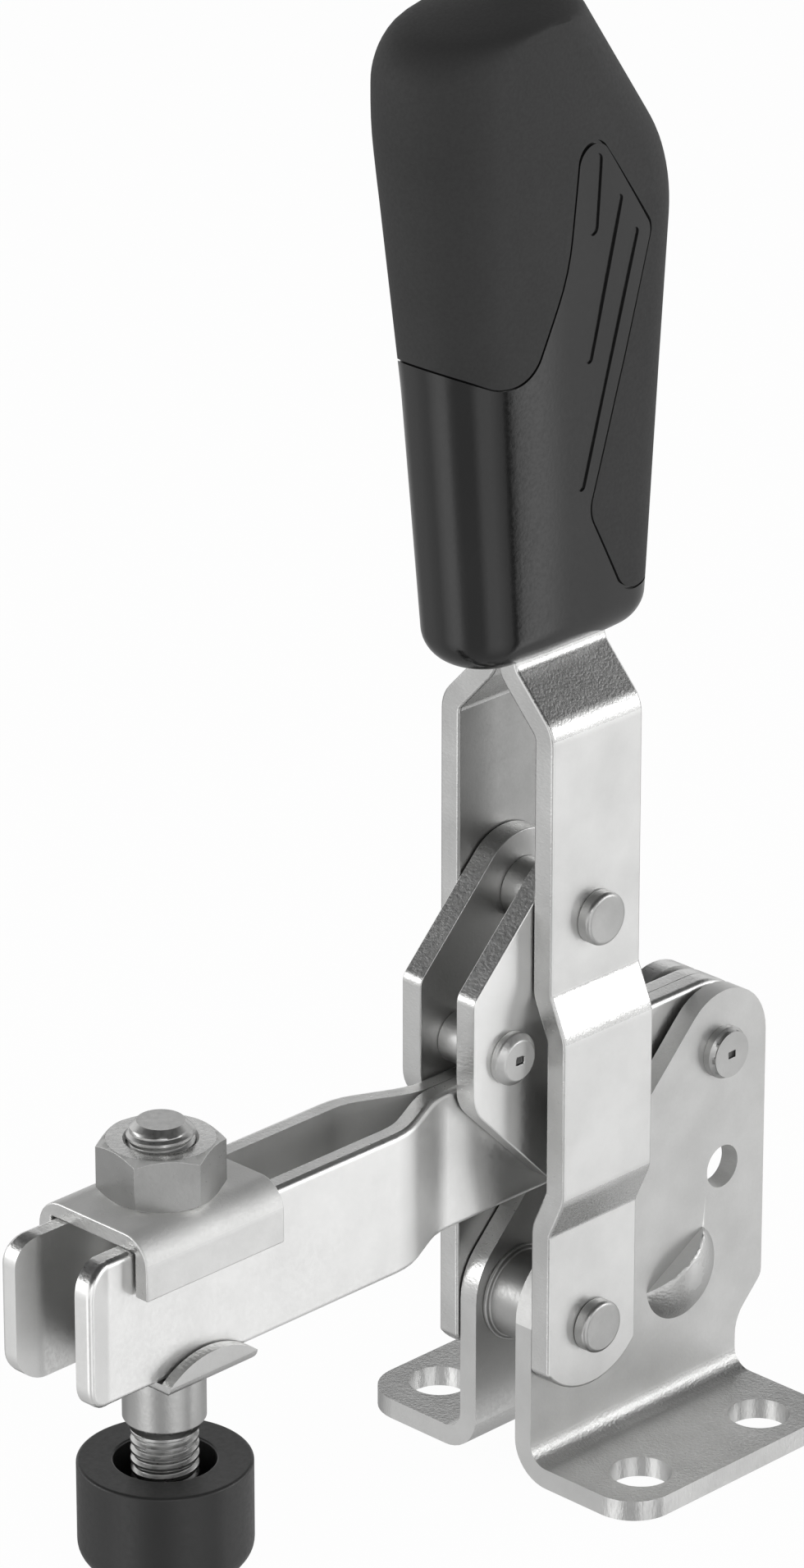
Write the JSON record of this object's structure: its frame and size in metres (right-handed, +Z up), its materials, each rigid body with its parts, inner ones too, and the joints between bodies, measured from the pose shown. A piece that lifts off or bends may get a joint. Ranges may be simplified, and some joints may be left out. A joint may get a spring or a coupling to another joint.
{
  "type": "toggle clamp",
  "caption": "Vertical hold-down toggle clamp: folded sheet base, double link, slotted arm with a rubber-capped spindle, and an upright two-component grip.",
  "frame": {"origin": "centre of the four foot holes, on the underside of the feet", "axes": "+X forward along the arm to the spindle, +Y to the left, +Z up the handle"},
  "size_m": [0.1144, 0.0464, 0.1865],
  "materials": {
    "zinc_sheet": "zinc-plated pressed sheet, satin",
    "rivet_steel": "zinc-plated turned steel, satin",
    "screw_steel": "zinc-plated, rolled thread",
    "grip_hard": "black glass-filled polyamide, lightly grained",
    "grip_soft": "dark grey soft-touch elastomer, matt",
    "cap_rubber": "black moulded rubber, satin"
  },
  "bodies": {
    "base": {"base_plate_left": "zinc_sheet", "base_plate_right": "zinc_sheet", "handle_pivot_rivet": "rivet_steel", "handle_pivot_bush": "rivet_steel", "arm_pivot_rivet": "rivet_steel"},
    "handle": {"handle_strap_left": "zinc_sheet", "handle_strap_right": "zinc_sheet", "strap_rivet_left": "rivet_steel", "strap_rivet_right": "rivet_steel", "grip_body": "grip_hard", "grip_cover": "grip_soft"},
    "arm": {"arm_plate_left": "zinc_sheet", "arm_plate_right": "zinc_sheet", "arm_pivot_bush": "rivet_steel", "knee_bush": "rivet_steel", "spindle": "screw_steel", "lock_nut": "screw_steel", "clamp_clip": "zinc_sheet", "saddle_washer": "zinc_sheet", "spindle_sleeve": "screw_steel", "rubber_cap": "cap_rubber"},
    "link": {"link_plate_left": "zinc_sheet", "link_plate_right": "zinc_sheet", "knee_rivet": "rivet_steel", "stop_rivet": "rivet_steel", "link_top_bush": "rivet_steel", "link_top_pin": "rivet_steel"}
  },
  "joints": [
    {"name": "handle_hinge", "type": "hinge", "parent": "base", "child": "handle", "pos_m": [0.011, 0, 0.02], "axis": [0, -1, 0], "range_deg": [0, 61]},
    {"name": "arm_hinge", "type": "hinge", "parent": "base", "child": "arm", "pos_m": [-0.0149, 0, 0.0464], "axis": [0, -1, 0], "range_deg": [0, 109.62]},
    {"name": "link_hinge", "type": "hinge", "parent": "arm", "child": "link", "pos_m": [0.0105, 0, 0.0455], "axis": [0, -1, 0], "range_deg": [0, 43.26]}
  ],
  "couplings": [
    {"joint": "arm_hinge", "follows": "handle_hinge", "ratio": 1.797},
    {"joint": "link_hinge", "follows": "handle_hinge", "ratio": 0.7091}
  ]
}
